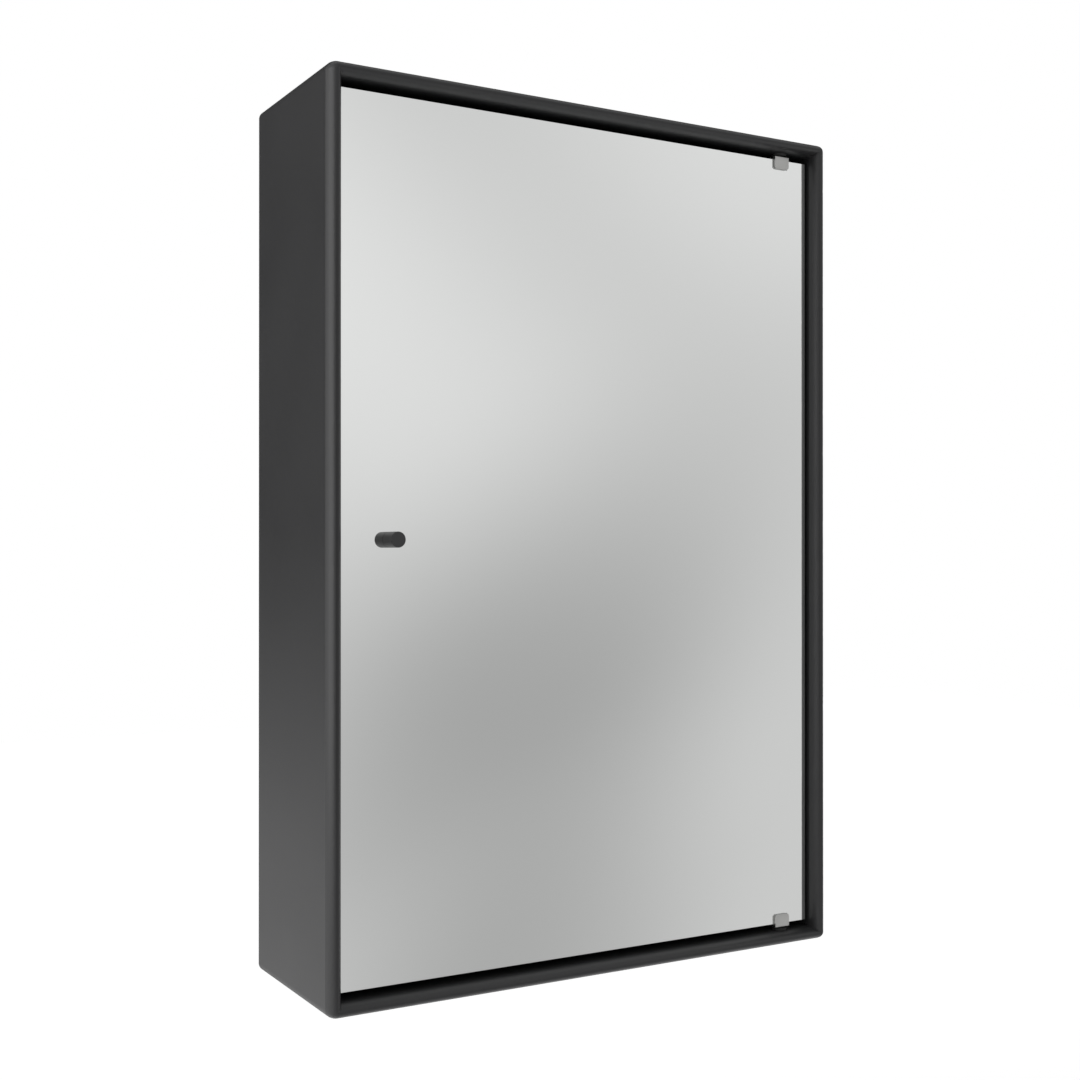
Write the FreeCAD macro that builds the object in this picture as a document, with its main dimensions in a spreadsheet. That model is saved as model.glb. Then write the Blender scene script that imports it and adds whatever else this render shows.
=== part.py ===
import FreeCAD, Part
import math
import os
import re
import Sketcher

# A wall-hung mirror cabinet: a mitred lacquered frame with a mirror door set into it on two pivots.
# +Z is up, the front faces -Y and y = 0 is the wall.
# The origin is the middle of the wall rail's screw holes.

V = FreeCAD.Vector
Rotation = FreeCAD.Rotation
Constraint = Sketcher.Constraint

# Driving sizes in millimetres
SIZES = {
    # Carcass boards
    "cabinet_width": 466.5,
    "cabinet_height": 700,
    "cabinet_depth": 154.5,
    "board": 11,
    "corner_radius": 7,
    "edge_round": 11,
    "edge_oval": 14,
    "spline_thick": 3,
    "spline_width": 8,
    "spline_behind": 35,
    "spline_front": 34,
    "spline_inset_share": 0.55,
    # Back panel and hanging rails
    "back_recess": 14,
    "back_thick": 8,
    "back_groove": 4,
    "groove_play": 0.3,
    "rail_end_room": 42.25,
    "rail_gauge": 2.5,
    "rail_below": 12,
    "rail_above": 12,
    "rail_lip": 12,
    "rail_play": 0.3,
    "rail_lift": 1,
    "rail_rise": 22,
    "rail_head_room": 3,
    "wall_hole": 5.5,
    "wall_hole_end": 30,
    "rail_screw": 3.5,
    "rail_screw_end": 20,
    "rail_screw_head": 7,
    "rail_screw_head_high": 2,
    "rail_screw_cover": 1.5,
    # Door
    "door_recess": 13,
    "door_free_gap": 1.5,
    "door_hinge_gap": 2.6,
    "glass_thick": 5,
    "glass_arris": 0.5,
    "backing_thick": 0.5,
    "backing_inset": 2,
    # Knob
    "knob_diameter": 12,
    "knob_length": 15.3,
    "knob_round": 0.8,
    "knob_inset": 40,
    "washer_thick": 0.3,
    "washer_diameter": 11.8,
    "sleeve_wall": 1.5,
    "sleeve_play": 0.3,
    "sleeve_flange": 12,
    "sleeve_flange_thick": 1,
    "knob_screw": 4,
    "knob_screw_play": 0.2,
    "knob_screw_head": 8,
    "knob_screw_head_high": 2.6,
    "knob_screw_bite": 6.5,
    "knob_bore_spare": 1.5,
    # Pivot hinges
    "pivot_inset": 41.25,
    "pin_diameter": 5,
    "pin_play": 0.03,
    "pin_short": 0.5,
    "bush_wall": 2,
    "bush_cover": 3,
    "bush_spare": 1,
    "bush_flange": 13,
    "bush_flange_thick": 1.9,
    "hinge_air": 1,
    "clip_width": 15,
    "clip_lip": 1.6,
    "clip_web": 1.9,
    "clip_jaw": 6,
    "clip_lip_reach": 8.4,
    "clip_jaw_reach": 14,
    "clip_corner": 2.5,
    "clip_edge_round": 0.5,
    "liner_thick": 0.5,
    "clip_screw": 4,
    "clip_screw_pitch": 7.6,
    "clip_screw_drop": 8,
    "clip_screw_sunk": 0.5,
    # Magnetic catch
    "catch_cheek": 3,
    "catch_ear": 11,
    "catch_ear_thick": 3,
    "catch_reach": 18,
    "catch_wall": 2,
    "catch_depth": 18,
    "catch_corner": 2,
    "magnet_high": 20,
    "magnet_thick": 5,
    "magnet_depth": 11,
    "pole_thick": 1.5,
    "pole_proud": 1,
    "catch_air": 0.3,
    "catch_screw": 3,
    "catch_screw_head": 6,
    "catch_screw_head_high": 1.8,
    "catch_screw_cover": 4,
    "strike_thick": 1.2,
    "strike_width": 13,
    "strike_high": 28,
    "strike_inset": 1.5,
    # Shelves
    "shelf_thick": 5,
    "shelf_swing_air": 6,
    "shelf_side_play": 1,
    "shelf_back_play": 1.5,
    "shelf_arris": 0.5,
    "upper_shelf_high": 450,
    "lower_shelf_high": 225,
    "peg_diameter": 12,
    "peg_length": 11,
    "peg_inset": 16,
    "spigot_diameter": 5,
    "spigot_drop": 2.9,
    "spigot_cover": 2,
    "spigot_spare": 1,
    "pad_thick": 0.8,
    "pad_width": 7,
    "pad_length": 9,
    "shelf_hole_pitch": 32,
    # How far a cut runs past the piece
    "overrun": 2,
}
SHELF_HOLE_COUNT = 3
# Four holes or screws in a row, as shares of the distance between neighbours
ROW_SHARES = (-1.5, -0.5, 0.5, 1.5)

# Sizes and places that several pieces share, as formulas of the driving sizes
DOOR_GAP = "(liner_thick + clip_web + hinge_air + bush_flange_thick)"
RAIL_LENGTH = "(cabinet_width - 2 * board - 2 * rail_end_room)"
SLEEVE_BORE = "(knob_screw + 2 * knob_screw_play)"
SLEEVE_DIAMETER = f"({SLEEVE_BORE} + 2 * sleeve_wall)"
KNOB_HOLE = f"({SLEEVE_DIAMETER} + 2 * sleeve_play)"
BUSH_BORE = "(pin_diameter + 2 * pin_play)"
BUSH_DIAMETER = f"({BUSH_BORE} + 2 * bush_wall)"
BUSH_LENGTH = "(board - bush_cover - bush_spare)"
SPLINE_LENGTH = "(cabinet_depth - spline_behind - spline_front)"
SPLINE_INSET = "(board * spline_inset_share)"
CATCH_BLOCK = "(magnet_high + 2 * catch_cheek)"
CATCH_SCREW_UP = f"({CATCH_BLOCK} / 2 + catch_ear / 2)"
CATCH_SCREW_BITE = "(board - catch_screw_cover)"
MAGNET_FROM = "(catch_reach - catch_wall - magnet_thick - 2 * pole_thick)"

TOP_Z = "(rail_above + rail_lip + rail_rise + rail_head_room + board)"
MIDDLE_Z = f"({TOP_Z} - cabinet_height / 2)"
CEILING_Z = f"({TOP_Z} - board)"
FLOOR_Z = f"({TOP_Z} - cabinet_height + board)"
INNER_X = "(cabinet_width / 2 - board)"
RAIL_TOP_Z = "(rail_above + rail_lip)"
RAIL_SCREW_Z = f"({RAIL_TOP_Z} + (rail_gauge + rail_rise) / 2)"
BACK_REAR_Y = "(-back_recess)"
BACK_FRONT_Y = "(-back_recess - back_thick)"
GLASS_FRONT_Y = "(door_recess - cabinet_depth)"
DOOR_BACK_Y = f"({GLASS_FRONT_Y} + glass_thick + backing_thick)"
GLASS_TOP_Z = f"({CEILING_Z} - {DOOR_GAP})"
DOOR_LEFT_X = f"(door_free_gap - {INNER_X})"
DOOR_RIGHT_X = f"({INNER_X} - door_hinge_gap)"
GLASS_HALF_HEIGHT = f"(cabinet_height / 2 - board - {DOOR_GAP})"
PIVOT_X = "(cabinet_width / 2 - pivot_inset)"
PIVOT_Y = f"({GLASS_FRONT_Y} + glass_thick / 2)"
KNOB_X = f"({DOOR_LEFT_X} + knob_inset)"
CATCH_FRONT_Y = f"({DOOR_BACK_Y} + strike_thick + catch_air + pole_proud)"
SHELF_BACK_Y = f"({BACK_FRONT_Y} - shelf_back_play)"
# The part of the pane beyond the pivots swings inwards, and the shelves stay clear of it
SHELF_FRONT_Y = f"({PIVOT_Y} + pivot_inset - board - door_hinge_gap + shelf_swing_air)"
PEG_YS = (f"({SHELF_BACK_Y} - peg_inset)", f"({SHELF_FRONT_Y} + peg_inset)")

# Turns that point a cylinder's axis, and the way back
TURNS = {
    "+X": Rotation(V(0, 1, 0), 90),
    "-X": Rotation(V(0, 1, 0), -90),
    "+Y": Rotation(V(1, 0, 0), -90),
    "-Y": Rotation(V(1, 0, 0), 90),
    "+Z": Rotation(),
}
OPPOSITE = {"+X": "-X", "-X": "+X", "+Y": "-Y", "-Y": "+Y"}

doc = FreeCAD.newDocument("MirrorCabinet")
sheet = doc.addObject("Spreadsheet::Sheet", "Sizes")
for row, (alias, value) in enumerate(SIZES.items(), start=1):
    sheet.set(f"A{row}", alias)
    sheet.set(f"B{row}", str(value))
    sheet.setAlias(f"B{row}", alias)
doc.recompute()
pieces = []


def formula(text):
    """Give a size formula with every alias read from the sheet."""
    return re.sub(r"[a-z_]+", lambda word: "Sizes." * (word.group() in SIZES) + word.group(), text)


def bind(item, formulas):
    for name, text in formulas.items():
        item.setExpression(name, formula(text))


def place(item, x="0", y="0", z="0", turn=Rotation()):
    item.Placement = FreeCAD.Placement(V(), turn)
    bind(item, {"Placement.Base.x": x, "Placement.Base.y": y, "Placement.Base.z": z})


def keep(item, label):
    """Name an object as one of the cabinet's pieces."""
    item.Label = label
    pieces.append(item)
    return item


def near(first, second):
    return math.isclose(first, second, abs_tol=1e-6)


# Solids from primitives
def box(name, x, y, z):
    """A block between two formulas on each axis."""
    item = doc.addObject("Part::Box", name)
    for side, (low, high) in zip(("Length", "Width", "Height"), (x, y, z)):
        bind(item, {side: f"{high} - {low}"})
    place(item, x[0], y[0], z[0])
    return item


def cylinder(name, axis, at, diameter, length):
    item = doc.addObject("Part::Cylinder", name)
    bind(item, {"Radius": f"{diameter} / 2", "Height": length})
    place(item, *at, turn=TURNS[axis])
    return item


def fuse(name, *shapes):
    item = doc.addObject("Part::MultiFuse", name)
    item.Shapes = list(shapes)
    return item


def cut(name, base, tool):
    item = doc.addObject("Part::Cut", name)
    item.Base = base
    item.Tool = tool
    return item


def group(name, solids):
    item = doc.addObject("Part::Compound", name)
    item.Links = list(solids)
    return item


def screw(name, axis, seat, shank, length, head, head_high):
    """A screw whose shank runs along an axis from its seat, with a flat head on the seat."""
    shank_solid = cylinder(name + "Shank", axis, seat, shank, length)
    head_solid = cylinder(name + "Head", OPPOSITE[axis], seat, head, head_high)
    return fuse(name, shank_solid, head_solid)


def mirror_down(source, name):
    """The same piece mirrored to the lower half of the cabinet."""
    item = doc.addObject("Part::Mirroring", name)
    item.Source = source
    item.Normal = V(0, 0, 1)
    bind(item, {"Base.z": MIDDLE_Z})
    return item


# Bodies with sketches
def new_body(name):
    return doc.addObject("PartDesign::Body", name)


def origin_feature(body, role):
    return [feature for feature in body.Origin.OriginFeatures if feature.Role == role][0]


def new_sketch(body, name, role, offset="0"):
    sketch = body.newObject("Sketcher::SketchObject", name)
    sketch.AttachmentSupport = [(origin_feature(body, role), "")]
    sketch.MapMode = "FlatFace"
    bind(sketch, {"AttachmentOffset.Base.z": offset})
    return sketch


def dimension(sketch, constraint, text):
    """Add a driving dimension and tie it to a size formula."""
    name = f"size_{sketch.ConstraintCount}"
    sketch.renameConstraint(sketch.addConstraint(constraint), name)
    bind(sketch, {f"Constraints.{name}": text})


def locate(sketch, curve, point, u, v):
    """Hold a point of a sketch at two size formulas from the sketch's origin."""
    drawn = sketch.getPoint(curve, point)
    for kind, axis, text, at in (("DistanceX", -2, u, drawn.x), ("DistanceY", -1, v, drawn.y)):
        if text == "0":
            sketch.addConstraint(Constraint("PointOnObject", curve, point, axis))
        else:
            dimension(sketch, Constraint(kind, -1, 1, curve, point, at), text)


def polygon(sketch, corners):
    """Add a closed outline whose corners are pairs of size formulas."""
    count = len(corners)
    turns = [2 * math.pi * k / count for k in range(count)]
    points = [V(math.cos(turn), math.sin(turn), 0) for turn in turns]
    lines = [sketch.addGeometry(Part.LineSegment(points[k - 1], points[k])) for k in range(count)]
    for k in range(count):
        sketch.addConstraint(Constraint("Coincident", lines[k - 1], 2, lines[k], 1))
    for line, (u, v) in zip(lines, corners):
        locate(sketch, line, 1, u, v)


def rectangle(sketch, u, v):
    polygon(sketch, [(u[0], v[0]), (u[1], v[0]), (u[1], v[1]), (u[0], v[1])])


def circles(sketch, centres, diameter):
    for u, v in centres:
        ring = sketch.addGeometry(Part.Circle(V(), V(0, 0, 1), 1))
        locate(sketch, ring, 3, u, v)
        dimension(sketch, Constraint("Diameter", ring, 1.0), diameter)


def pad(body, sketch, length, symmetric=False, reverse=False):
    feature = body.newObject("PartDesign::Pad", "Pad")
    feature.Profile = sketch
    feature.SideType = "Symmetric" if symmetric else "One side"
    feature.Reversed = reverse
    bind(feature, {"Length": length})
    doc.recompute()


def pocket(body, sketch, depth=None, reverse=False):
    """Cut a sketch to a depth, or right through both ways, and stop if that takes nothing away."""
    volume = body.Shape.Volume
    feature = body.newObject("PartDesign::Pocket", "Pocket")
    feature.Profile = sketch
    feature.Reversed = reverse
    if depth is None:
        feature.Type = "ThroughAll"
        feature.SideType = "Symmetric"
    else:
        bind(feature, {"Length": depth})
    doc.recompute()
    if not body.Shape.Volume < volume:
        raise RuntimeError(f"{body.Label}: {feature.Label} cuts nothing")
    return feature


def soften(body, kind, size, wanted):
    """Fillet or chamfer the edges of a body whose boxes pass a test."""
    base = body.Tip
    edges = [f"Edge{k}" for k, edge in enumerate(base.Shape.Edges, start=1) if wanted(edge.BoundBox)]
    feature = body.newObject(f"PartDesign::{kind}", kind)
    feature.Base = (base, edges)
    bind(feature, {"Radius" if kind == "Fillet" else "Size": size})
    doc.recompute()


# Carcass boards, each drawn lying flat: length along X, outer face at z = 0, wall edge at y = 0
def front_edge(sketch, height, last=None):
    """Add a board's round front edge, part of an oval whose middle is at the given height.

    It runs from the outer face to the angle last, or to the inner face.
    """
    deep = SIZES["edge_oval"]
    first = math.acos(SIZES["edge_round"] / deep - 1)
    centre = V(deep - SIZES["cabinet_depth"], height, 0)
    half = SIZES["board"] / 2 / math.sin(first)
    ellipse = Part.Ellipse(centre + V(deep, 0, 0), centre + V(0, half, 0), centre)
    edge = sketch.addGeometry(Part.ArcOfEllipse(ellipse, first, last or 2 * math.pi - first))
    sketch.exposeInternalGeometry(edge)
    long_axis = edge + 1
    sketch.addConstraint(Constraint("Horizontal", long_axis))
    dimension(sketch, Constraint("Distance", long_axis, 2 * deep), "2 * edge_oval")
    return edge


def join(sketch, *pairs):
    """Join curve ends, each given as a curve and the number of its point."""
    for first, second in pairs:
        sketch.addConstraint(Constraint("Coincident", *first, *second))


def board_section(body):
    """Section of a board: flat faces, and a round front edge that meets them at a faint crease."""
    sketch = new_sketch(body, "Section", "YZ_Plane")
    thick, crease = SIZES["board"], SIZES["edge_round"] - SIZES["cabinet_depth"]
    corners = [V(crease, -thick, 0), V(0, -thick, 0), V(0, 0, 0), V(crease, 0, 0)]
    inner, rear, outer = [sketch.addGeometry(Part.LineSegment(*corners[k:k + 2])) for k in range(3)]
    edge = front_edge(sketch, -thick / 2)
    join(sketch, ((inner, 2), (rear, 1)), ((rear, 2), (outer, 1)), ((outer, 2), (edge, 1)),
         ((edge, 2), (inner, 1)), ((outer, 1), (-1, 1)))
    for kind, line in (("Horizontal", inner), ("Vertical", rear), ("Horizontal", outer)):
        sketch.addConstraint(Constraint(kind, line))
    locate(sketch, edge, 3, "edge_oval - cabinet_depth", "-board / 2")
    dimension(sketch, Constraint("DistanceY", rear, 1, rear, 2, thick), "board")
    dimension(sketch, Constraint("DistanceX", outer, 2, outer, 1, -crease), "cabinet_depth - edge_round")
    return sketch


def add_corners(body, length):
    """Carry the outer part of the section round each corner, up to the mitre."""
    sketch = new_sketch(body, "CornerSection", "YZ_Plane", f"{length} / 2 - corner_radius")
    bind(sketch, {"AttachmentOffset.Base.y": "-corner_radius"})
    radius, half, deep = SIZES["corner_radius"], SIZES["board"] / 2, SIZES["edge_oval"]
    crease, height = SIZES["edge_round"] - SIZES["cabinet_depth"], radius - half
    last = math.pi + math.asin(height / half * math.sin(math.acos(SIZES["edge_round"] / deep - 1)))
    axis_end = V(deep - SIZES["cabinet_depth"] + deep * math.cos(last), 0, 0)
    corners = [axis_end, V(0, 0, 0), V(0, radius, 0), V(crease, radius, 0)]
    middle, rear, outer = [sketch.addGeometry(Part.LineSegment(*corners[k:k + 2])) for k in range(3)]
    edge = front_edge(sketch, height, last)
    join(sketch, ((middle, 2), (-1, 1)), ((rear, 1), (-1, 1)), ((rear, 2), (outer, 1)),
         ((outer, 2), (edge, 1)), ((edge, 2), (middle, 1)))
    for kind, line in (("Horizontal", middle), ("Vertical", rear), ("Horizontal", outer)):
        sketch.addConstraint(Constraint(kind, line))
    locate(sketch, edge, 3, "edge_oval - cabinet_depth", "corner_radius - board / 2")
    dimension(sketch, Constraint("DistanceY", rear, 1, rear, 2, radius), "corner_radius")
    dimension(sketch, Constraint("DistanceX", outer, 2, outer, 1, -crease), "cabinet_depth - edge_round")
    corner = body.newObject("PartDesign::Revolution", "Corner")
    corner.Profile = sketch
    corner.ReferenceAxis = (sketch, ["H_Axis"])
    corner.Angle = 45
    mirrored = body.newObject("PartDesign::Mirrored", "OtherCorner")
    mirrored.Originals = [corner]
    mirrored.MirrorPlane = (origin_feature(body, "YZ_Plane"), [""])
    body.Tip = mirrored
    doc.recompute()


def mitred_board(label, length, x, z, angle):
    """A board with mitred ends, rounded outer corners, spline slots and the back panel's groove."""
    body = new_body("Board")
    pad(body, board_section(body), f"{length} - 2 * corner_radius", symmetric=True)
    mitres = new_sketch(body, "Mitres", "XZ_Plane")
    slots = new_sketch(body, "SplineSlots", "XZ_Plane", "spline_behind")
    along, across = "spline_width / sqrt(8)", "spline_thick / sqrt(8)"
    for end in (1, -1):
        far = f"{end} * ({length} / 2 + overrun)"
        close = f"{end} * ({length} / 2 - board - overrun)"
        polygon(mitres, [(far, "overrun"), (far, "-board - overrun"), (close, "-board - overrun")])
        corners = [(f"{end} * ({length} / 2 - {SPLINE_INSET} + {s} * {along} + {t} * {across})",
                    f"-{SPLINE_INSET} - {s} * {along} + {t} * {across}")
                   for s, t in ((1, 1), (1, -1), (-1, -1), (-1, 1))]
        polygon(slots, corners)
    pocket(body, mitres)
    groove = new_sketch(body, "BackGroove", "YZ_Plane")
    rectangle(groove, (BACK_FRONT_Y, BACK_REAR_Y), ("-board - overrun", "back_groove - board"))
    pocket(body, groove)
    add_corners(body, length)
    pocket(body, slots, SPLINE_LENGTH, reverse=True)
    place(body, x, "0", z, Rotation(V(0, 1, 0), angle))
    return keep(body, label)


def drill_inside(board, name, centres, diameter, depth):
    """Drill blind holes into a board from its inner face."""
    sketch = new_sketch(board, name, "XY_Plane", "-board")
    circles(sketch, centres, diameter)
    return pocket(board, sketch, depth, reverse=True)


def peg_axis_z(shelf):
    return f"({FLOOR_Z} + {shelf}_shelf_high - pad_thick - spigot_drop)"


def drill_shelf_holes(board, way):
    """Drill two columns of shelf holes, three to a shelf, along a side board."""
    lowest = [(f"{way} * ({peg_axis_z(shelf)} - {MIDDLE_Z}) - shelf_hole_pitch", y)
              for shelf in ("upper", "lower") for y in PEG_YS]
    holes = drill_inside(board, "ShelfHoles", lowest, "spigot_diameter", "board - spigot_cover")
    row = board.newObject("PartDesign::LinearPattern", "ShelfHoleRows")
    row.Originals = [holes]
    row.Direction = (origin_feature(board, "X_Axis"), [""])
    row.Occurrences = SHELF_HOLE_COUNT
    bind(row, {"Length": f"{SHELF_HOLE_COUNT - 1} * shelf_hole_pitch"})
    board.Tip = row
    doc.recompute()


def build_carcass():
    top = mitred_board("top_panel", "cabinet_width", "0", TOP_Z, 0)
    bottom = mitred_board("bottom_panel", "cabinet_width", "0", f"{TOP_Z} - cabinet_height", 180)
    left = mitred_board("left_side", "cabinet_height", "-cabinet_width / 2", MIDDLE_Z, -90)
    right = mitred_board("right_side", "cabinet_height", "cabinet_width / 2", MIDDLE_Z, 90)
    for board, way in ((top, 1), (bottom, -1)):
        centre = (f"{way} * {PIVOT_X}", PIVOT_Y)
        drill_inside(board, "BushBore", [centre], BUSH_DIAMETER, "board - bush_cover")
    for board, way in ((left, 1), (right, -1)):
        drill_shelf_holes(board, way)
    catch_y = f"{CATCH_FRONT_Y} + catch_depth / 2"
    catch_holes = [(f"{way} * {CATCH_SCREW_UP}", catch_y) for way in (1, -1)]
    drill_inside(left, "CatchHoles", catch_holes, "catch_screw", CATCH_SCREW_BITE)


def build_splines():
    """Loose tongues that key the four mitres together."""
    splines = []
    for side in (1, -1):
        for level in (1, -1):
            item = doc.addObject("Part::Box", "Spline")
            bind(item, {"Length": "spline_width", "Width": SPLINE_LENGTH, "Height": "spline_thick"})
            lean = side * level
            x = (f"{side} * (cabinet_width / 2 - {SPLINE_INSET})"
                 f" - (spline_width + {lean} * spline_thick) / sqrt(8)")
            z = (f"{MIDDLE_Z} + {level} * (cabinet_height / 2 - {SPLINE_INSET})"
                 f" + ({lean} * spline_width - spline_thick) / sqrt(8)")
            place(item, x, "spline_front - cabinet_depth", z, Rotation(V(0, 1, 0), 45 * lean))
            splines.append(item)
    keep(group("Splines", splines), "mitre_splines")


def build_back():
    """Back panel, held in the boards' grooves, with pilot holes for the rail's screws."""
    body = new_body("BackPanel")
    outline = new_sketch(body, "Outline", "XZ_Plane")
    half_width = f"({INNER_X} + back_groove - groove_play)"
    half_height = "(cabinet_height / 2 - board + back_groove - groove_play)"
    rectangle(outline, (f"-{half_width}", half_width), (f"-{half_height}", half_height))
    pad(body, outline, "back_thick")
    pilots = new_sketch(body, "Pilots", "XZ_Plane")
    circles(pilots, [(x, f"{RAIL_SCREW_Z} - {MIDDLE_Z}") for x in rail_screw_xs()], "rail_screw")
    pocket(body, pilots, "back_thick - rail_screw_cover", reverse=True)
    place(body, "0", BACK_REAR_Y, MIDDLE_Z)
    keep(body, "back_panel")


# Hanging rails: two aluminium hooks that slide into each other
def rail_screw_xs():
    return [f"{share} * ({RAIL_LENGTH} - 2 * rail_screw_end) / 3" for share in ROW_SHARES]


def rail(label, section, hole_xs, hole_z, hole):
    body = new_body("Rail")
    sketch = new_sketch(body, "Section", "YZ_Plane")
    polygon(sketch, section)
    pad(body, sketch, RAIL_LENGTH, symmetric=True)
    holes = new_sketch(body, "Holes", "XZ_Plane")
    circles(holes, [(x, hole_z) for x in hole_xs], hole)
    pocket(body, holes)
    keep(body, label)


def build_rails():
    hook_front = "(-rail_play - rail_gauge)"
    lip_rear = f"({hook_front} - rail_play)"
    lip_front = f"({lip_rear} - rail_gauge)"
    step_under = "rail_above - rail_gauge"
    wall_section = [("0", "-rail_below"), ("0", "rail_above"), (lip_rear, "rail_above"),
                    (lip_rear, RAIL_TOP_Z), (lip_front, RAIL_TOP_Z), (lip_front, step_under),
                    ("-rail_gauge", step_under), ("-rail_gauge", "-rail_below")]
    wall_holes = [f"{share} * ({RAIL_LENGTH} - 2 * wall_hole_end) / 3" for share in ROW_SHARES]
    rail("wall_rail", wall_section, wall_holes, "0", "wall_hole")
    flange_rear = f"({BACK_REAR_Y} + rail_gauge)"
    flange_top = f"{RAIL_TOP_Z} + rail_rise"
    hook_top = f"{RAIL_TOP_Z} + rail_gauge"
    hook_end = "rail_above + rail_lift"
    hook_section = [(BACK_REAR_Y, RAIL_TOP_Z), (BACK_REAR_Y, flange_top), (flange_rear, flange_top),
                    (flange_rear, hook_top), ("-rail_play", hook_top), ("-rail_play", hook_end),
                    (hook_front, hook_end), (hook_front, RAIL_TOP_Z)]
    rail("cabinet_rail", hook_section, rail_screw_xs(), RAIL_SCREW_Z, "rail_screw")
    length = "rail_gauge + back_thick - rail_screw_cover"
    screws = [screw("RailScrew", "-Y", (x, flange_rear, RAIL_SCREW_Z), "rail_screw", length,
                    "rail_screw_head", "rail_screw_head_high") for x in rail_screw_xs()]
    keep(group("RailScrews", screws), "cabinet_rail_screws")


# Door
def pane(label, inset, thick, y):
    """A sheet of the door, drilled for the knob."""
    body = new_body("Pane")
    outline = new_sketch(body, "Outline", "XZ_Plane")
    half_height = f"({GLASS_HALF_HEIGHT} - {inset})"
    rectangle(outline, (f"{DOOR_LEFT_X} + {inset}", f"{DOOR_RIGHT_X} - {inset}"),
              (f"-{half_height}", half_height))
    pad(body, outline, thick, reverse=True)
    hole = new_sketch(body, "KnobHole", "XZ_Plane")
    circles(hole, [(KNOB_X, "0")], KNOB_HOLE)
    pocket(body, hole)
    place(body, "0", y, MIDDLE_Z)
    return keep(body, label)


def build_panes():
    glass = pane("mirror_glass", "0", "glass_thick", GLASS_FRONT_Y)
    soften(glass, "Chamfer", "glass_arris",
           lambda edge: near(edge.YLength, 0) and (near(edge.XLength, 0) or near(edge.ZLength, 0)))
    pane("safety_backing", "backing_inset", "backing_thick", f"{GLASS_FRONT_Y} + glass_thick")


def build_knob():
    """Turned knob with the washer, sleeve and screw that hold it through the glass."""
    knob = new_body("Knob")
    section = new_sketch(knob, "Section", "XY_Plane")
    rim, bore, bore_end = "knob_diameter / 2", "knob_screw / 2", "-knob_screw_bite - knob_bore_spare"
    polygon(section, [("0", "-knob_length"), (rim, "-knob_length"), (rim, "0"), (bore, "0"),
                      (bore, bore_end), ("0", bore_end)])
    turned = knob.newObject("PartDesign::Revolution", "Turned")
    turned.Profile = section
    turned.ReferenceAxis = (origin_feature(knob, "Y_Axis"), [""])
    doc.recompute()
    soften(knob, "Fillet", "knob_round",
           lambda edge: near(edge.YMax, -SIZES["knob_length"])
           and near(edge.XLength, SIZES["knob_diameter"]))
    place(knob, KNOB_X, f"{GLASS_FRONT_Y} - washer_thick", MIDDLE_Z)
    keep(knob, "knob")
    washer_at = (KNOB_X, GLASS_FRONT_Y, MIDDLE_Z)
    washer = cylinder("WasherDisc", "-Y", washer_at, "washer_diameter", "washer_thick")
    washer_hole = cylinder("WasherHole", "-Y", washer_at, SLEEVE_BORE, "washer_thick")
    keep(cut("Washer", washer, washer_hole), "knob_washer")
    seat = (KNOB_X, DOOR_BACK_Y, MIDDLE_Z)
    head_seat = (KNOB_X, f"{DOOR_BACK_Y} + sleeve_flange_thick", MIDDLE_Z)
    tube_length = "glass_thick + backing_thick"
    sleeve_length = f"{tube_length} + sleeve_flange_thick"
    tube = cylinder("SleeveTube", "-Y", seat, SLEEVE_DIAMETER, tube_length)
    flange = cylinder("SleeveFlange", "+Y", seat, "sleeve_flange", "sleeve_flange_thick")
    hole = cylinder("SleeveHole", "-Y", head_seat, SLEEVE_BORE, sleeve_length)
    keep(cut("Sleeve", fuse("SleeveSolid", tube, flange), hole), "knob_sleeve")
    length = f"{sleeve_length} + washer_thick + knob_screw_bite"
    screw_solid = screw("KnobScrew", "-Y", head_seat, "knob_screw", length, "knob_screw_head",
                        "knob_screw_head_high")
    keep(screw_solid, "knob_screw")


# Pivot hinges
def clip_section(sketch, front, back, top, inner_front, inner_back, inner_top):
    """Upside-down U that straddles the top edge of the glass."""
    low_front, low_back = f"{GLASS_TOP_Z} - clip_lip_reach", f"{GLASS_TOP_Z} - clip_jaw_reach"
    polygon(sketch, [(front, low_front), (front, top), (back, top), (back, low_back),
                     (inner_back, low_back), (inner_back, inner_top), (inner_front, inner_top),
                     (inner_front, low_front)])


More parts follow.
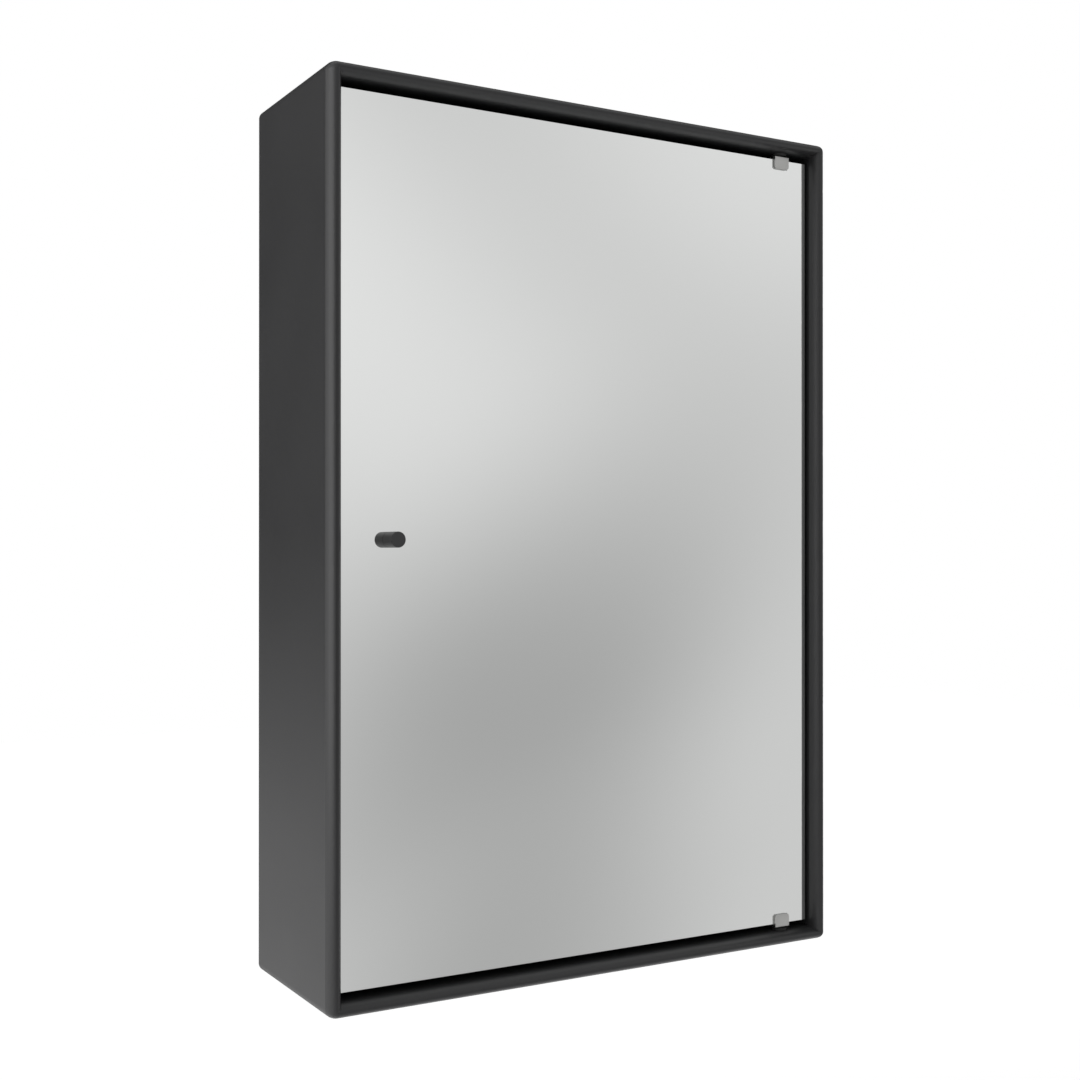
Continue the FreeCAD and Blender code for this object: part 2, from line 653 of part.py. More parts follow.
def build_upper_hinge():
    """Clip, liner, screws and pin on the door, and the flanged bush in the top board."""
    liner_front, liner_back = f"({GLASS_FRONT_Y} - liner_thick)", f"({DOOR_BACK_Y} + liner_thick)"
    liner_top = f"({GLASS_TOP_Z} + liner_thick)"
    jaw_back = f"({liner_back} + clip_jaw)"
    clip = new_body("Clip")
    section = new_sketch(clip, "Section", "YZ_Plane")
    clip_section(section, f"{liner_front} - clip_lip", jaw_back, f"{liner_top} + clip_web",
                 liner_front, liner_back, liner_top)
    pad(clip, section, "clip_width", symmetric=True)
    pin_hole = new_sketch(clip, "PinHole", "XY_Plane", liner_top)
    circles(pin_hole, [("0", PIVOT_Y)], "pin_diameter")
    pocket(clip, pin_hole, "clip_web", reverse=True)
    threads = new_sketch(clip, "ScrewHoles", "XZ_Plane", f"-{jaw_back}")
    screw_xs = [f"{way} * clip_screw_pitch / 2" for way in (1, -1)]
    circles(threads, [(x, f"{GLASS_TOP_Z} - clip_screw_drop") for x in screw_xs], "clip_screw")
    pocket(clip, threads, "clip_jaw", reverse=True)
    box_now = clip.Shape.BoundBox
    lip_end = box_now.ZMax - sum(SIZES[name] for name in ("clip_web", "liner_thick", "clip_lip_reach"))
    soften(clip, "Fillet", "clip_corner",
           lambda edge: near(edge.XLength, 0) and near(edge.ZLength, 0)
           and near(abs(edge.XMax), box_now.XMax)
           and (near(edge.ZMax, lip_end) or near(edge.ZMax, box_now.ZMin)))
    soften(clip, "Fillet", "clip_edge_round",
           lambda edge: near(edge.XLength, box_now.XLength) and near(edge.ZMax, box_now.ZMax))
    place(clip, PIVOT_X)
    keep(clip, "upper_hinge_clip")
    liner = new_body("Liner")
    section = new_sketch(liner, "Section", "YZ_Plane")
    clip_section(section, liner_front, liner_back, liner_top, GLASS_FRONT_Y, DOOR_BACK_Y, GLASS_TOP_Z)
    pad(liner, section, "clip_width - 2 * liner_thick", symmetric=True)
    place(liner, PIVOT_X)
    keep(liner, "upper_clip_liner")
    screw_seats = [(f"{PIVOT_X} + {x}", liner_back, f"{GLASS_TOP_Z} - clip_screw_drop") for x in screw_xs]
    screws = [cylinder("ClipScrew", "+Y", seat, "clip_screw", "clip_jaw - clip_screw_sunk")
              for seat in screw_seats]
    keep(group("ClipScrews", screws), "upper_clip_screws")
    pin_length = f"{DOOR_GAP} - liner_thick + {BUSH_LENGTH} - pin_short"
    pin = cylinder("Pin", "+Z", (PIVOT_X, PIVOT_Y, liner_top), "pin_diameter", pin_length)
    keep(pin, "upper_pivot_pin")
    tube = cylinder("BushTube", "+Z", (PIVOT_X, PIVOT_Y, CEILING_Z), BUSH_DIAMETER, BUSH_LENGTH)
    flange_at = (PIVOT_X, PIVOT_Y, f"{CEILING_Z} - bush_flange_thick")
    flange = cylinder("BushFlange", "+Z", flange_at, "bush_flange", "bush_flange_thick")
    bore = cylinder("BushBore", "+Z", flange_at, BUSH_BORE, f"bush_flange_thick + {BUSH_LENGTH}")
    keep(cut("Bush", fuse("BushSolid", tube, flange), bore), "upper_hinge_bush")


def build_lower_hinge():
    for upper in [piece for piece in pieces if piece.Label.startswith("upper_")]:
        keep(mirror_down(upper, "Lower"), upper.Label.replace("upper", "lower"))


# Magnetic catch on the left side, and its plate on the door
def build_catch():
    housing = new_body("CatchHousing")
    for name, half, reach in (("Ears", f"({CATCH_BLOCK} / 2 + catch_ear)", "catch_ear_thick"),
                              ("Block", f"({CATCH_BLOCK} / 2)", "catch_reach")):
        outline = new_sketch(housing, name, "YZ_Plane")
        rectangle(outline, ("0", "catch_depth"), (f"-{half}", half))
        pad(housing, outline, reach)
    room = new_sketch(housing, "MagnetRoom", "XZ_Plane")
    rectangle(room, (MAGNET_FROM, "catch_reach - catch_wall"), ("-magnet_high / 2", "magnet_high / 2"))
    pocket(housing, room, "magnet_depth")
    holes = new_sketch(housing, "ScrewHoles", "YZ_Plane")
    circles(holes, [("catch_depth / 2", f"{way} * {CATCH_SCREW_UP}") for way in (1, -1)], "catch_screw")
    pocket(housing, holes)
    box_now = housing.Shape.BoundBox
    soften(housing, "Fillet", "catch_corner",
           lambda edge: near(edge.YLength, 0) and near(edge.ZLength, 0)
           and near(abs(edge.ZMax), box_now.ZMax))
    place(housing, f"-{INNER_X}", CATCH_FRONT_Y, MIDDLE_Z)
    keep(housing, "catch_housing")
    room_x = f"(-{INNER_X} + {MAGNET_FROM})"
    high = (f"({MIDDLE_Z} - magnet_high / 2)", f"({MIDDLE_Z} + magnet_high / 2)")
    end_y = f"({CATCH_FRONT_Y} + magnet_depth)"
    magnet_x = (f"({room_x} + pole_thick)", f"({room_x} + pole_thick + magnet_thick)")
    keep(box("Magnet", magnet_x, (CATCH_FRONT_Y, end_y), high), "catch_magnet")
    pole_xs = ((room_x, magnet_x[0]), (magnet_x[1], f"({magnet_x[1]} + pole_thick)"))
    poles = [box("Pole", x, (f"({CATCH_FRONT_Y} - pole_proud)", end_y), high) for x in pole_xs]
    keep(group("Poles", poles), "catch_pole_plates")
    seat_x, seat_y = f"-{INNER_X} + catch_ear_thick", f"{CATCH_FRONT_Y} + catch_depth / 2"
    screw_seats = [(seat_x, seat_y, f"{MIDDLE_Z} + {way} * {CATCH_SCREW_UP}") for way in (1, -1)]
    length = f"catch_ear_thick + {CATCH_SCREW_BITE}"
    screws = [screw("CatchScrew", "-X", seat, "catch_screw", length, "catch_screw_head",
                    "catch_screw_head_high") for seat in screw_seats]
    keep(group("CatchScrews", screws), "catch_screws")
    strike_from = f"({DOOR_LEFT_X} + strike_inset)"
    strike_x = (strike_from, f"({strike_from} + strike_width)")
    strike_y = (DOOR_BACK_Y, f"({DOOR_BACK_Y} + strike_thick)")
    strike_z = (f"({MIDDLE_Z} - strike_high / 2)", f"({MIDDLE_Z} + strike_high / 2)")
    keep(box("Strike", strike_x, strike_y, strike_z), "strike_plate")


# Glass shelves on half-round pegs
def shelf_peg(shelf, side, y):
    """A half-round peg with a flat top, and the spigot that holds it in a side board."""
    way = "+X" if side > 0 else "-X"
    top = f"({FLOOR_Z} + {shelf}_shelf_high - pad_thick)"
    face = f"{side} * {INNER_X}"
    half = "(peg_diameter / 2)"
    round_peg = cylinder("Peg", OPPOSITE[way], (face, y, top), "peg_diameter", "peg_length")
    reach = (f"(-{INNER_X} - overrun)", f"({INNER_X} + overrun)")
    above = box("Above", reach, (f"({y} - {half} - overrun)", f"({y} + {half} + overrun)"),
                (top, f"({top} + {half} + overrun)"))
    spigot = cylinder("Spigot", way, (face, y, peg_axis_z(shelf)), "spigot_diameter",
                      "board - spigot_cover - spigot_spare")
    return fuse("ShelfPeg", cut("HalfPeg", round_peg, above), spigot)


def shelf_pad(shelf, side, y):
    top = f"({FLOOR_Z} + {shelf}_shelf_high)"
    from_x, to_x = [f"({side} * ({INNER_X} - peg_length / 2) + {way} * pad_length / 2)" for way in (-1, 1)]
    return box("Pad", (from_x, to_x), (f"({y} - pad_width / 2)", f"({y} + pad_width / 2)"),
               (f"({top} - pad_thick)", top))


def build_shelf(shelf):
    body = new_body("Shelf")
    outline = new_sketch(body, "Outline", "XY_Plane")
    half_width = f"({INNER_X} - shelf_side_play)"
    rectangle(outline, (f"-{half_width}", half_width), (SHELF_FRONT_Y, SHELF_BACK_Y))
    pad(body, outline, "shelf_thick")
    soften(body, "Chamfer", "shelf_arris", lambda edge: near(edge.ZLength, 0))
    place(body, z=f"{FLOOR_Z} + {shelf}_shelf_high")
    keep(body, f"{shelf}_shelf")
    seats = [(side, y) for side in (1, -1) for y in PEG_YS]
    keep(group("ShelfPegs", [shelf_peg(shelf, side, y) for side, y in seats]), f"{shelf}_shelf_pins")
    keep(group("ShelfPads", [shelf_pad(shelf, side, y) for side, y in seats]), f"{shelf}_shelf_pads")


build_carcass()
build_splines()
build_back()
build_rails()
build_upper_hinge()
build_lower_hinge()
build_panes()
build_knob()
build_catch()
build_shelf("upper")
build_shelf("lower")
doc.recompute()

failed = [item.Label for item in doc.Objects if {"Invalid", "Error"} & set(item.State)]
failed += [piece.Label for piece in pieces if piece.Shape.isNull() or not piece.Shape.isValid()]
if failed:
    raise RuntimeError(f"these objects failed: {failed}")
os.makedirs("parts", exist_ok=True)
for piece in pieces:
    piece.Shape.exportStep(f"parts/{piece.Label}.step")
    print(piece.Label, len(piece.Shape.Solids), round(piece.Shape.Volume, 1))
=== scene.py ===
import bmesh
import bpy
import math
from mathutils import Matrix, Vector


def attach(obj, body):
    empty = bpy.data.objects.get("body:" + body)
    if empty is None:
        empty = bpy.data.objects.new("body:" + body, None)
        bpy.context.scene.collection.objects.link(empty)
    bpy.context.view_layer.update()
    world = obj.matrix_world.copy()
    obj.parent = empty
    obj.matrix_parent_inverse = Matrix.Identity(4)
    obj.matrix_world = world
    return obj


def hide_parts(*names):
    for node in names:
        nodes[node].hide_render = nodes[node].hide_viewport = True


# A wall-hung mirror cabinet: anthracite lacquered frame, inset mirror door on pivot clips, glass shelves.
# Metres, +Z up, the front faces -Y and y = 0 is the wall.

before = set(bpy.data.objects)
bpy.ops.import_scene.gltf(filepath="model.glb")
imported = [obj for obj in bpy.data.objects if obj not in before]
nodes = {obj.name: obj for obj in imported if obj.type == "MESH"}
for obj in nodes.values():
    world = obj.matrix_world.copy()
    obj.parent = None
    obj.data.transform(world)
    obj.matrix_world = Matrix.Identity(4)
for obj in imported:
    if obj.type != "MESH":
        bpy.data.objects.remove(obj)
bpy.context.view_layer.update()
scene = bpy.context.scene
scene.view_settings.view_transform = "Standard"

MM = 0.001


# Shading helpers
def srgb(code):
    """Linear RGBA of an sRGB hex colour."""
    channels = [int(code[k:k + 2], 16) / 255 for k in (1, 3, 5)]
    linear = [c / 12.92 if c <= 0.04045 else ((c + 0.055) / 1.055) ** 2.4 for c in channels]
    return [*linear, 1]


def add(tree, kind, inputs=None, **settings):
    """Add a shader node: settings are its properties, and inputs are values or other nodes' sockets."""
    node = tree.nodes.new("ShaderNode" + kind)
    for name, value in settings.items():
        setattr(node, name, value)
    for name, value in (inputs or {}).items():
        if isinstance(value, bpy.types.NodeSocket):
            tree.links.new(value, node.inputs[name])
        else:
            node.inputs[name].default_value = value
    return node


def new_material(name):
    material = bpy.data.materials.new(name)
    material.use_nodes = True
    material.node_tree.nodes.clear()
    return material, material.node_tree


def scale_of(size_mm):
    """Noise scale whose blotches are about this size."""
    return 1 / (size_mm * MM)


# Materials
def sprayed_lacquer():
    # Two-pack lacquer sprayed on MDF and left satin: deep neutral grey, soft highlights that a faint
    # orange peel breaks up, and a sheen that drifts a little along each board
    material, tree = new_material("sprayed_anthracite_lacquer")
    place = add(tree, "TexCoord").outputs["Object"]
    peel = add(tree, "TexNoise", {"Vector": place, "Scale": scale_of(2.4), "Detail": 1.5})
    drift = add(tree, "TexNoise", {"Vector": place, "Scale": scale_of(110), "Detail": 3})
    tone = add(tree, "MixRGB", {"Fac": drift.outputs["Fac"], "Color1": srgb("#272728"),
                                "Color2": srgb("#2a2a2b")})
    sheen = add(tree, "MapRange", {"Value": drift.outputs["Fac"], "From Min": 0.3, "From Max": 0.7,
                                   "To Min": 0.35, "To Max": 0.4})
    relief = add(tree, "Bump", {"Height": peel.outputs["Fac"], "Strength": 0.12, "Distance": 0.1 * MM})
    shader = add(tree, "BsdfPrincipled", {"Base Color": tone.outputs["Color"], "Specular IOR Level": 0.36,
                                          "Roughness": sheen.outputs["Result"],
                                          "Normal": relief.outputs["Normal"]})
    add(tree, "OutputMaterial", {"Surface": shader.outputs["BSDF"]})
    return material


def float_glass():
    # Clear float glass: polished, faintly wavy, with the iron's green that shows only through the long way
    # of an edge
    material, tree = new_material("shelf_float_glass")
    place = add(tree, "TexCoord").outputs["Object"]
    wave = add(tree, "TexNoise", {"Vector": place, "Scale": scale_of(70), "Detail": 1})
    relief = add(tree, "Bump", {"Height": wave.outputs["Fac"], "Strength": 1, "Distance": 0.0008 * MM})
    shader = add(tree, "BsdfPrincipled", {"Base Color": srgb("#ffffff"), "IOR": 1.52, "Roughness": 0,
                                          "Transmission Weight": 1, "Normal": relief.outputs["Normal"]})
    tint = add(tree, "VolumeAbsorption", {"Color": srgb("#9fe0c8"), "Density": 7})
    add(tree, "OutputMaterial", {"Surface": shader.outputs["BSDF"], "Volume": tint.outputs["Volume"]})
    return material


def silvered_glass():
    # Mirror glass silvered on its face: a slightly soft mirror, and ground edges that show the iron's green
    material, tree = new_material("silvered_float_glass")
    place = add(tree, "TexCoord")
    cloud = add(tree, "TexNoise", {"Vector": place.outputs["Object"], "Scale": scale_of(160), "Detail": 2})
    haze = add(tree, "MapRange", {"Value": cloud.outputs["Fac"], "From Min": 0.3, "From Max": 0.7,
                                  "To Min": 0.03, "To Max": 0.05})
    silver = add(tree, "BsdfPrincipled", {"Base Color": srgb("#e8e9e8"), "Metallic": 1,
                                          "Roughness": haze.outputs["Result"]})
    grind = add(tree, "TexNoise", {"Vector": place.outputs["Object"], "Scale": scale_of(0.6), "Detail": 2})
    green = add(tree, "MixRGB", {"Fac": grind.outputs["Fac"], "Color1": srgb("#5f7d72"),
                                 "Color2": srgb("#86a398")})
    edge = add(tree, "BsdfPrincipled", {"Base Color": green.outputs["Color"], "IOR": 1.52, "Roughness": 0.35})
    # The pane's face is the part that looks along -Y
    facing = add(tree, "SeparateXYZ", {"Vector": place.outputs["Normal"]})
    face = add(tree, "Math", {0: facing.outputs["Y"], 1: -0.6}, operation="LESS_THAN")
    both = add(tree, "MixShader", {0: face.outputs[0], 1: edge.outputs["BSDF"], 2: silver.outputs["BSDF"]})
    add(tree, "OutputMaterial", {"Surface": both.outputs["Shader"]})
    return material


def grained_metal(name, light, dark, grain_mm, stretch, roughness, relief_mm):
    # Metal whose fine grain comes from how it was worked: tumbled, plated or ground parts have round specks,
    # and drawn ones have lines along the stretch. The grain is drawn coarser than it is, so that it shows.
    material, tree = new_material(name)
    place = add(tree, "TexCoord").outputs["Object"]
    spread = add(tree, "Mapping", {"Vector": place, "Scale": stretch})
    grain = add(tree, "TexNoise", {"Vector": spread.outputs["Vector"], "Scale": scale_of(grain_mm),
                                   "Detail": 2})
    tone = add(tree, "MixRGB", {"Fac": grain.outputs["Fac"], "Color1": srgb(dark), "Color2": srgb(light)})
    polish = add(tree, "MapRange", {"Value": grain.outputs["Fac"], "To Min": roughness - 0.06,
                                    "To Max": roughness + 0.06})
    relief = add(tree, "Bump", {"Height": grain.outputs["Fac"], "Strength": 0.3, "Distance": relief_mm * MM})
    shader = add(tree, "BsdfPrincipled", {"Base Color": tone.outputs["Color"], "Metallic": 1,
                                          "Roughness": polish.outputs["Result"],
                                          "Normal": relief.outputs["Normal"]})
    add(tree, "OutputMaterial", {"Surface": shader.outputs["BSDF"]})
    return material


def grained_solid(name, light, dark, grain_mm, roughness, relief_mm):
    # Moulded plastic, rubber, film, coating or pressed ferrite: a matt skin with the fine grain of its mould,
    # drawn coarser than it is, so that it shows
    material, tree = new_material(name)
    place = add(tree, "TexCoord").outputs["Object"]
    grain = add(tree, "TexNoise", {"Vector": place, "Scale": scale_of(grain_mm), "Detail": 2})
    tone = add(tree, "MixRGB", {"Fac": grain.outputs["Fac"], "Color1": srgb(dark), "Color2": srgb(light)})
    polish = add(tree, "MapRange", {"Value": grain.outputs["Fac"], "To Min": roughness - 0.08,
                                    "To Max": roughness + 0.08})
    relief = add(tree, "Bump", {"Height": grain.outputs["Fac"], "Strength": 0.4, "Distance": relief_mm * MM})
    shader = add(tree, "BsdfPrincipled", {"Base Color": tone.outputs["Color"], "IOR": 1.5,
                                          "Roughness": polish.outputs["Result"],
                                          "Normal": relief.outputs["Normal"]})
    add(tree, "OutputMaterial", {"Surface": shader.outputs["BSDF"]})
    return material


def birch_plywood():
    # Bare birch ply: pale veneers about 1 mm thick with darker glue lines between them
    material, tree = new_material("birch_plywood")
    place = add(tree, "TexCoord").outputs["Object"]
    # The wave texture has 20 radians to its unit, so this gives one glue line each millimetre
    plies = add(tree, "TexWave", {"Vector": place, "Scale": scale_of(20 / math.tau), "Distortion": 0.4})
    tone = add(tree, "MixRGB", {"Fac": plies.outputs["Fac"], "Color1": srgb("#a8804f"),
                                "Color2": srgb("#d9bd8f")})
    shader = add(tree, "BsdfPrincipled", {"Base Color": tone.outputs["Color"], "Roughness": 0.7})
    add(tree, "OutputMaterial", {"Surface": shader.outputs["BSDF"]})
    return material


EVEN = (1, 1, 1)
ALONG_X = (0.02, 1, 1)
lacquer = sprayed_lacquer()
mirror_pane = silvered_glass()
shelf_glass = float_glass()
nickel = grained_metal("tumbled_matt_nickel", "#bdbdbb", "#a9a9a7", 0.5, EVEN, 0.38, 0.01)
aluminium = grained_metal("extruded_aluminium", "#d3d4d6", "#c3c4c7", 0.6, ALONG_X, 0.36, 0.02)
zinc = grained_metal("bright_zinc_plate", "#c9ccd0", "#b3b7bd", 1.2, EVEN, 0.28, 0.01)
ground_steel = grained_metal("ground_steel", "#b9babb", "#a6a7a9", 0.4, EVEN, 0.24, 0.005)
powder_coat = grained_solid("anthracite_powder_coat", "#2b2b2c", "#252526", 0.6, 0.42, 0.02)
black_plastic = grained_solid("moulded_black_nylon", "#171717", "#121212", 0.5, 0.72, 0.03)
dark_plastic = grained_solid("moulded_dark_nylon", "#2a2a2b", "#222223", 0.5, 0.5, 0.03)
grey_rubber = grained_solid("grey_rubber", "#a2a3a3", "#939494", 0.7, 0.66, 0.02)
backing_film = grained_solid("grey_safety_film", "#8f9193", "#848688", 1.6, 0.5, 0.03)
ferrite = grained_solid("pressed_ferrite", "#3a3a3c", "#2c2c2e", 0.5, 0.6, 0.04)
plywood = birch_plywood()

FINISHES = {
    lacquer: ["left_side", "right_side", "top_panel", "bottom_panel", "back_panel"],
    plywood: ["mitre_splines"],
    mirror_pane: ["mirror_glass"],
    shelf_glass: ["upper_shelf", "lower_shelf"],
    aluminium: ["wall_rail", "cabinet_rail"],
    zinc: ["cabinet_rail_screws", "catch_screws", "catch_pole_plates", "strike_plate", "knob_screw"],
    nickel: ["upper_hinge_clip", "lower_hinge_clip", "upper_shelf_pins", "lower_shelf_pins"],
    ground_steel: ["upper_pivot_pin", "lower_pivot_pin", "upper_clip_screws", "lower_clip_screws"],
    powder_coat: ["knob"],
    grey_rubber: ["upper_clip_liner", "lower_clip_liner", "upper_shelf_pads", "lower_shelf_pads"],
    black_plastic: ["upper_hinge_bush", "lower_hinge_bush"],
    dark_plastic: ["catch_housing", "knob_washer", "knob_sleeve"],
    backing_film: ["safety_backing"],
    ferrite: ["catch_magnet"],
}
for material, names in FINISHES.items():
    for name in names:
        nodes[name].data.materials.clear()
        nodes[name].data.materials.append(material)


# Small hardware: the solids' edges broken as tumbling or moulding leaves them, and drives in the screws
def merged_copy(node):
    """A bmesh of a node's solids at rest, with the seams between its faces closed."""
    mesh = bmesh.new()
    mesh.from_mesh(node.data)
    mesh.transform(node.matrix_world)
    bmesh.ops.remove_doubles(mesh, verts=mesh.verts, dist=0.001 * MM)
    return mesh


def solid_boxes(mesh):
    """Lowest and highest corner of each separate solid."""
    boxes = []
    waiting = set(mesh.verts)
    while waiting:
        reached, grown = [waiting.pop()], []
        while reached:
            vertex = reached.pop()
            grown.append(vertex.co)
            linked = {edge.other_vert(vertex) for edge in vertex.link_edges} & waiting
            waiting -= linked
            reached += linked
        boxes.append([[pick(point[k] for point in grown) for k in range(3)] for pick in (min, max)])
    return boxes


def cross_outline(reach_mm, width_mm):
    a, b = reach_mm * MM / 2, width_mm * MM / 2
    return [(a, b), (b, b), (b, a), (-b, a), (-b, b), (-a, b),
            (-a, -b), (-b, -b), (-b, -a), (b, -a), (b, -b), (a, -b)]


def hex_outline(across_mm):
    radius = across_mm * MM / math.sqrt(3)
    return [(radius * math.cos(k * math.pi / 3), radius * math.sin(k * math.pi / 3)) for k in range(6)]


def drive_cutter(boxes, along, outline, deep_mm):
    """Tapering plugs that cut a drive into the high end of each screw."""
    mesh = bmesh.new()
    across = [k for k in range(3) if k != along]
    above_mm, mouth_share, floor_share = 0.3, 1.05, 0.72
    for low, high in boxes:
        rings = []
        for rise_mm, share in ((above_mm, mouth_share), (-deep_mm, floor_share)):
            ring = []
            for point in outline:
                place = [0, 0, 0]
                place[along] = high[along] + rise_mm * MM
                for k, offset in zip(across, point):
                    place[k] = (low[k] + high[k]) / 2 + share * offset
                ring.append(mesh.verts.new(place))
            rings.append(ring)
        upper, lower = rings
        mesh.faces.new(upper)
        mesh.faces.new(lower)
        for k in range(len(outline)):
            mesh.faces.new((upper[k - 1], upper[k], lower[k], lower[k - 1]))
    bmesh.ops.recalc_face_normals(mesh, faces=mesh.faces)
    return mesh


def helper_object(name, mesh):
    """A passing object that carries the modifiers or cuts the drives."""
    data = bpy.data.meshes.new(name)
    mesh.to_mesh(data)
    mesh.free()
    item = bpy.data.objects.new(name, data)
    scene.collection.objects.link(item)
    return item


def dress(name, material, body, round_mm, drive=None):
    """Replace a node's plain solids by ones with broken edges and, in screws, a drive.

    A drive is the screw's axis, the outline of its recess and the depth in mm.
    """
    mesh = merged_copy(nodes[name])
    boxes = solid_boxes(mesh)
    plain = helper_object(name + "_plain", mesh)
    edge = plain.modifiers.new("broken_edge", "BEVEL")
    edge.width = round_mm * MM
    edge.segments = 3
    edge.angle_limit = math.radians(40)
    helpers = [plain]
    if drive:
        cutter = helper_object(name + "_drive", drive_cutter(boxes, *drive))
        helpers.append(cutter)
        cut = plain.modifiers.new("drive", "BOOLEAN")
        cut.object = cutter
    data = bpy.data.meshes.new_from_object(plain.evaluated_get(bpy.context.evaluated_depsgraph_get()))
    for item in helpers:
        bpy.data.objects.remove(item)
    data.name = name + "_finished"
    data.materials.clear()
    data.materials.append(material)
    data.polygons.foreach_set("use_smooth", [True] * len(data.polygons))
    data.polygons.foreach_set("material_index", [0] * len(data.polygons))
    data.set_sharp_from_angle(angle=math.radians(32))
    piece = bpy.data.objects.new(name + "_finished", data)
    scene.collection.objects.link(piece)
    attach(piece, body)
    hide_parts(name)


X, Y = 0, 1
dress("cabinet_rail_screws", zinc, "cabinet", 0.35, (Y, cross_outline(3.8, 0.9), 1.1))
dress("catch_screws", zinc, "cabinet", 0.3, (X, cross_outline(3.3, 0.8), 1))
dress("knob_screw", zinc, "door", 0.5, (Y, cross_outline(4.4, 1), 1.5))
for which in ("upper", "lower"):
    dress(f"{which}_clip_screws", ground_steel, "door", 0.15, (Y, hex_outline(2), 1.2))
    dress(f"{which}_hinge_clip", nickel, "door", 0.35)
dress("strike_plate", zinc, "door", 0.15)
dress("catch_housing", dark_plastic, "cabinet", 0.4)


# Stage: white surround, pale floor, cards that the mirror and the lacquer reflect, one soft lamp
def upright(left, right, low, high):
    """Corners of a sheet that faces the front."""
    return [(left, 0, low), (right, 0, low), (right, 0, high), (left, 0, high)]


def lying(left, right, front, back, z):
    """Corners of a level sheet."""
    return [(left, front, z), (right, front, z), (right, back, z), (left, back, z)]


def stage_sheet(name, corners, material):
    data = bpy.data.meshes.new(name)
    data.from_pydata(corners, [], [(0, 1, 2, 3)])
    data.materials.append(material)
    item = bpy.data.objects.new(name, data)
    scene.collection.objects.link(item)
    return item


def seen_share(tree):
    """One for rays that show the surround, straight or in a reflection or glass, and zero for light."""
    path = add(tree, "LightPath")
    first = add(tree, "Math", {0: path.outputs["Is Camera Ray"], 1: path.outputs["Is Glossy Ray"]},
                operation="MAXIMUM")
    both = add(tree, "Math", {0: first.outputs[0], 1: path.outputs["Is Transmission Ray"]},
               operation="MAXIMUM")
    return both.outputs[0]


def white_surround():
    world = bpy.data.worlds.new("white_surround")
    world.use_nodes = True
    tree = world.node_tree
    tree.nodes.clear()
    level = add(tree, "MapRange", {"Value": seen_share(tree), "To Min": 0.7, "To Max": 1})
    shine = add(tree, "Background", {"Color": srgb("#ffffff"), "Strength": level.outputs["Result"]})
    add(tree, "OutputWorld", {"Surface": shine.outputs["Background"]})
    scene.world = world


def pale_floor():
    # Painted floor with a lift that brings it to white where it is seen, and keeps the cabinet's shadow
    material, tree = new_material("pale_floor_paint")
    lift = add(tree, "Math", {0: seen_share(tree), 1: 0.55}, operation="MULTIPLY")
    paint = add(tree, "BsdfDiffuse", {"Color": srgb("#d8d8d8")})
    shine = add(tree, "Emission", {"Strength": lift.outputs[0]})
    both = add(tree, "AddShader", {0: paint.outputs["BSDF"], 1: shine.outputs["Emission"]})
    add(tree, "OutputMaterial", {"Surface": both.outputs["Shader"]})
    half, z = 9, -1.55
    stage_sheet("floor", lying(-half, half, -half, half, z), material)


def pooled(tree):
    # Brightness of a grey studio card with the soft pools of light and shade that the mirror reflects
    place = add(tree, "TexCoord").outputs["Object"]
    level = 0.72
    pools = [((1.342, -0.666), (1.488, 0.859), 40.0, -0.26),
             ((1.189, -1.668), (0.662, 1.393), -52.5, -0.215),
             ((-0.308, 0.836), (3.356, 1.015), -28.1, 0.257),
             ((2.3, 1.0), (1.5, 0.95), 0, 0.15)]
    for (x, z), (wide, high), turn, gain in pools:
        spot = add(tree, "Mapping", {"Vector": place, "Location": (x, 0, z), "Scale": (wide, 1, high),
                                     "Rotation": (0, -math.radians(turn), 0)}, vector_type="TEXTURE")
        ball = add(tree, "TexGradient", {"Vector": spot.outputs["Vector"]}, gradient_type="SPHERICAL")
        soft = add(tree, "MapRange", {"Value": ball.outputs["Fac"], "To Max": gain},
                   interpolation_type="SMOOTHERSTEP")
        level = add(tree, "Math", {0: soft.outputs["Result"], 1: level}).outputs[0]
    return level


def graded(tree):
    # Brightness of a card that is dark above and pale towards the floor, as the left side's sheen is
    height = add(tree, "SeparateXYZ", {"Vector": add(tree, "TexCoord").outputs["Object"]})
    level = add(tree, "MapRange", {"Value": height.outputs["Z"], "From Min": -1.3, "From Max": -0.2,
                                   "To Min": 0.95, "To Max": 0.06}, interpolation_type="SMOOTHSTEP")
    return level.outputs["Result"]


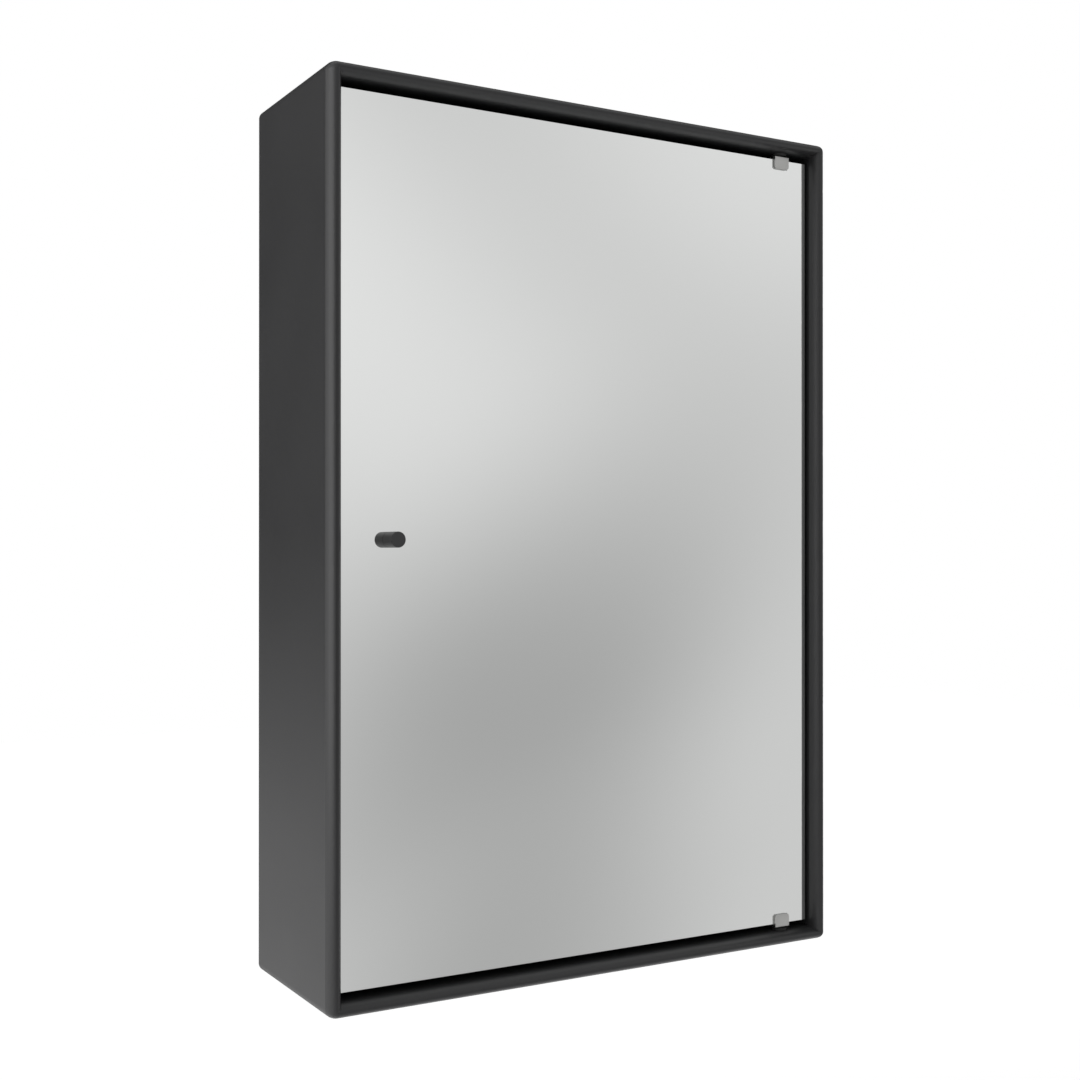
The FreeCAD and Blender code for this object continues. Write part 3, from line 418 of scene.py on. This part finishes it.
def light_card(name, corners, level, y=0, lights=False):
    """Card that reflections show and the camera doesn't, and that lights the cabinet only if lights is set.

    The level is its even brightness, or a function that adds the nodes of an uneven one.
    """
    material, tree = new_material(name + "_light")
    shine = add(tree, "Emission", {"Strength": level(tree) if callable(level) else level})
    add(tree, "OutputMaterial", {"Surface": shine.outputs["Emission"]})
    card = stage_sheet(name, corners, material)
    card.location.y = y
    card.visible_camera = False
    card.visible_diffuse = lights


def soft_lamp(name, place, size, watts):
    cabinet_middle = Vector((0, -0.08, -0.29))
    data = bpy.data.lights.new(name, "AREA")
    data.size = size
    data.energy = watts
    lamp = bpy.data.objects.new(name, data)
    lamp.location = place
    lamp.rotation_euler = (cabinet_middle - lamp.location).to_track_quat("-Z", "Y").to_euler()
    scene.collection.objects.link(lamp)


def photo_camera():
    """Camera at the photograph's viewpoint, from the outline's corners."""
    yaw, pitch = math.radians(30.071), math.radians(0.153)
    focal_px, shift_px, image_px = 1486.5, 8.07, 1080
    data = bpy.data.cameras.new("camera")
    data.sensor_width = 36
    data.lens = data.sensor_width * focal_px / image_px
    data.shift_y = shift_px / image_px
    camera = bpy.data.objects.new("camera", data)
    camera.location = (-0.64109, -1.16061, -0.29922)
    camera.rotation_euler = (math.pi / 2 + pitch, 0, -yaw)
    scene.collection.objects.link(camera)
    scene.camera = camera


white_surround()
pale_floor()
light_card("mirror_card", upright(-0.4, 4.6, -3.0, 2.4), pooled, y=-2.6, lights=True)
light_card("side_card", upright(-1.5, -0.35, -1.5, 2.2), graded, y=1.8)
for name, low, high in (("lower_back_card", -1.5, -0.9), ("upper_back_card", 0.2, 3.2)):
    light_card(name, [(-0.35, 1.8, low), (3.2, 0.2, low), (3.2, 0.2, high), (-0.35, 1.8, high)], 0.1)
light_card("top_card", lying(-3, 4, -3.5, 1.8, 2.6), 0.9)
light_card("front_card", upright(-1.35, -0.2, -0.93, 0.33), 0.4, y=-1.3)
soft_lamp("left_softbox", (-2.9, 0.5, 0.1), 2.4, 33)
photo_camera()
